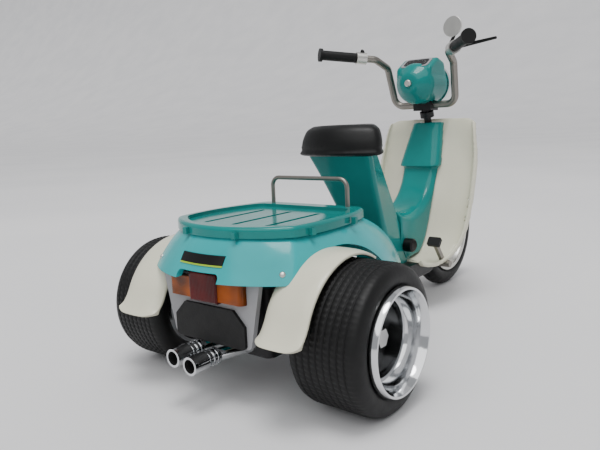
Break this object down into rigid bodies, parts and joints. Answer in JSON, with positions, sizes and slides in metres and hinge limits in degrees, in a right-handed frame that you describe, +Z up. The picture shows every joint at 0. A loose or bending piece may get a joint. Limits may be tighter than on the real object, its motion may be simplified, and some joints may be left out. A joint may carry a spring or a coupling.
{
  "type": "three-wheeled scooter model",
  "caption": "Scale model of a three-wheeled scooter: wide rear wheels under a moulded deck with a boot lid, saddle on a leaning column, legshield and one steered front wheel.",
  "frame": {"origin": "on the ground under the middle of the whole outline", "axes": "+Z up, the front points towards -Y, the right side is -X"},
  "size_m": [0.0626, 0.1186, 0.0734],
  "materials": {
    "light_turquoise": "gloss",
    "teal": "gloss",
    "cream": "gloss",
    "grey": "matte",
    "black_rubber": "matte",
    "black_plastic": "matte",
    "dark_grey": "satin",
    "warm_metal": "brushed",
    "steel": "brushed",
    "chrome": "polished",
    "silver": "satin",
    "lamp_red": "gloss",
    "lamp_amber": "gloss",
    "lens": "clear",
    "seat_black": "matte",
    "tyre": "matte"
  },
  "bodies": {
    "chassis": {"rear_deck": "light_turquoise", "boot_lid": "teal", "lid_clips": "warm_metal", "grab_rail": "warm_metal", "mudguard_left": "cream", "mudguard_right": "cream", "rear_panel": "grey", "mudflap": "black_rubber", "tail_lamp_red": "lamp_red", "tail_lamp_ambers": "lamp_amber", "exhaust_pipes": "chrome", "engine_block": "dark_grey", "rear_axle": "steel", "underframe": "black_plastic", "seat_column": "teal", "seat": "seat_black", "tunnel": "teal", "legshield": "cream", "pedal_lever": "warm_metal", "pedal_pad": "black_rubber", "coupling_knob": "black_plastic"},
    "steering": {"steering_stem": "dark_grey", "handlebar": "warm_metal", "grips": "black_rubber", "control_housings": "silver", "brake_lever": "black_plastic", "mirror_head": "silver", "mirror_stem": "black_plastic", "lamp_housing": "teal", "headlamp_rim": "chrome", "headlamp_glass": "lens", "lamp_knob": "silver", "fork": "dark_grey", "front_axle": "steel", "front_fender": "teal"},
    "front_wheel": {"front_tyre": "tyre", "front_rim": "silver"},
    "rear_wheel_left": {"rear_tyre_left": "tyre", "rear_rim_left": "chrome", "rear_hub_left": "black_plastic"},
    "rear_wheel_right": {"rear_tyre_right": "tyre", "rear_rim_right": "chrome", "rear_hub_right": "black_plastic"}
  },
  "joints": [
    {"name": "steering_turn", "type": "hinge", "parent": "chassis", "child": "steering", "pos_m": [0, -0.03285, 0.051], "axis": [0, 0.2777, 0.9607], "range_deg": [-20, 20]},
    {"name": "front_wheel_spin", "type": "hinge", "parent": "steering", "child": "front_wheel", "pos_m": [0, -0.04285, 0.0164], "axis": [1, 0, 0], "continuous": true},
    {"name": "rear_wheel_left_spin", "type": "hinge", "parent": "chassis", "child": "rear_wheel_left", "pos_m": [0, 0.03945, 0.013], "axis": [1, 0, 0], "continuous": true},
    {"name": "rear_wheel_right_spin", "type": "hinge", "parent": "chassis", "child": "rear_wheel_right", "pos_m": [0, 0.03945, 0.013], "axis": [1, 0, 0], "continuous": true}
  ]
}
